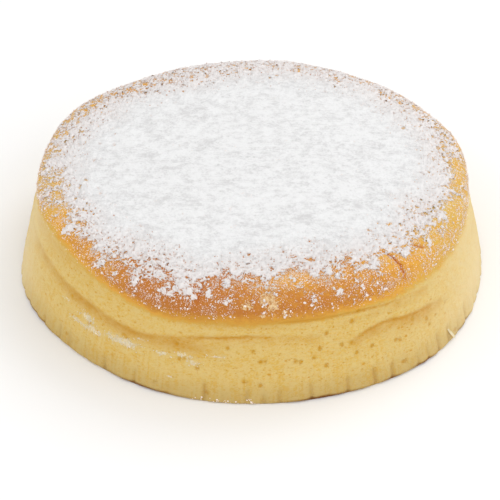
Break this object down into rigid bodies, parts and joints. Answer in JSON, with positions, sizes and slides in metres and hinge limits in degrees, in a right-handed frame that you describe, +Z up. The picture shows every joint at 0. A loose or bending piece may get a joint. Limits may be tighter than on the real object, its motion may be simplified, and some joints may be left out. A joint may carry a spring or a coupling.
{
  "type": "whole souffle cheesecake",
  "caption": "Round, uncut souffle cheesecake: low dome with a browned crust under icing sugar, pale yellow pleated wall with a slack crease, and a flat underside.",
  "frame": {"origin": "middle of the underside, on the surface that the cake rests on", "axes": "+Z up through the middle of the dome; -Y is the front, where the least sugar hides the crust; +X is to the right seen from the front"},
  "size_m": [0.1989, 0.2004, 0.0492],
  "materials": {
    "sponge": "matte, pale butter-yellow sponge with a golden-brown crust on top",
    "icing_sugar": "matte white powder"
  },
  "bodies": {
    "root": {"cheesecake": "sponge"}
  },
  "joints": []
}
